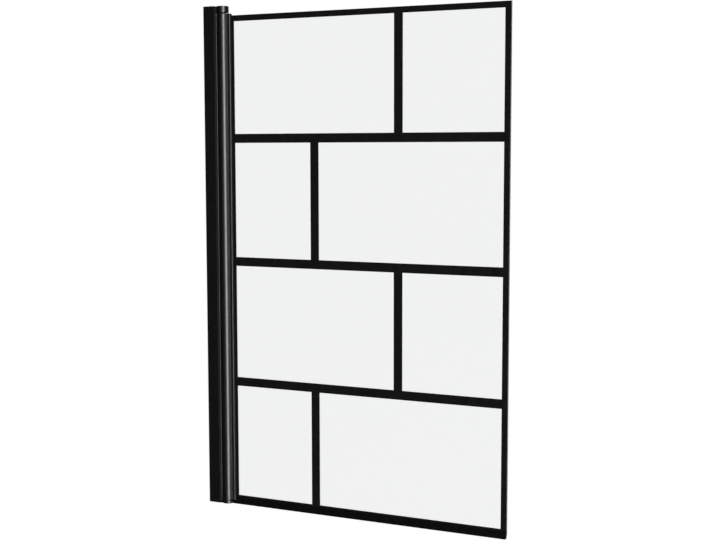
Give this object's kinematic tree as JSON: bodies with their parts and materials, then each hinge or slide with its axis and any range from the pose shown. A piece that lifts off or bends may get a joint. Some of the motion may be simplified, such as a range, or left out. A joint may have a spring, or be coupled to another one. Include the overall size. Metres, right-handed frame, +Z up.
{
  "type": "pivoting bath screen",
  "caption": "Glass bath screen with a black printed grid that swings on a vertical hinge beside an adjustable wall profile and seals against the bath rim.",
  "frame": {"origin": "on the wall at the back of the wall profile, level with the bath rim, in the glass's middle plane", "axes": "+X out from the wall along the glass, +Z up, -Y towards the side shown in the picture"},
  "size_m": [0.8865, 0.0367, 1.4],
  "materials": {
    "black_aluminium": "satin black powder coat",
    "clear_glass": "clear toughened glass with ground edges",
    "black_enamel": "fired black enamel print",
    "black_plastic": "moulded black plastic",
    "black_rubber": "extruded black rubber",
    "black_vinyl": "soft black vinyl",
    "white_nylon": "moulded natural nylon",
    "bright_steel": "stainless steel"
  },
  "bodies": {
    "wall": {"wall_profile": "black_aluminium", "wall_end_cap": "black_plastic"},
    "post": {"hinge_profile": "black_aluminium", "wiper_seal": "black_rubber", "top_hinge_cap": "black_aluminium", "bottom_hinge_cap": "black_aluminium", "top_pivot_pin": "bright_steel", "bottom_pivot_pin": "bright_steel", "thrust_washer": "white_nylon", "locking_screws": "bright_steel", "locking_washers": "bright_steel", "locking_caps": "black_plastic", "top_cap_screws": "bright_steel", "bottom_cap_screws": "bright_steel"},
    "screen": {"swing_profile": "black_aluminium", "top_bush": "black_plastic", "bottom_bush": "black_plastic", "clamp_end_cap": "black_plastic", "glass_panel": "clear_glass", "printed_grid": "black_enamel", "front_gasket": "black_rubber", "rear_gasket": "black_rubber", "glass_packers": "black_plastic", "bottom_seal": "black_vinyl"}
  },
  "joints": [
    {"name": "width_adjust", "type": "slide", "parent": "wall", "child": "post", "axis": [1, 0, 0], "range_m": [-0.0015, 0.0155]},
    {"name": "screen_swing", "type": "hinge", "parent": "post", "child": "screen", "pos_m": [0.053, 0, 0.7], "axis": [0, 0, 1], "range_deg": [-90, 90]}
  ]
}
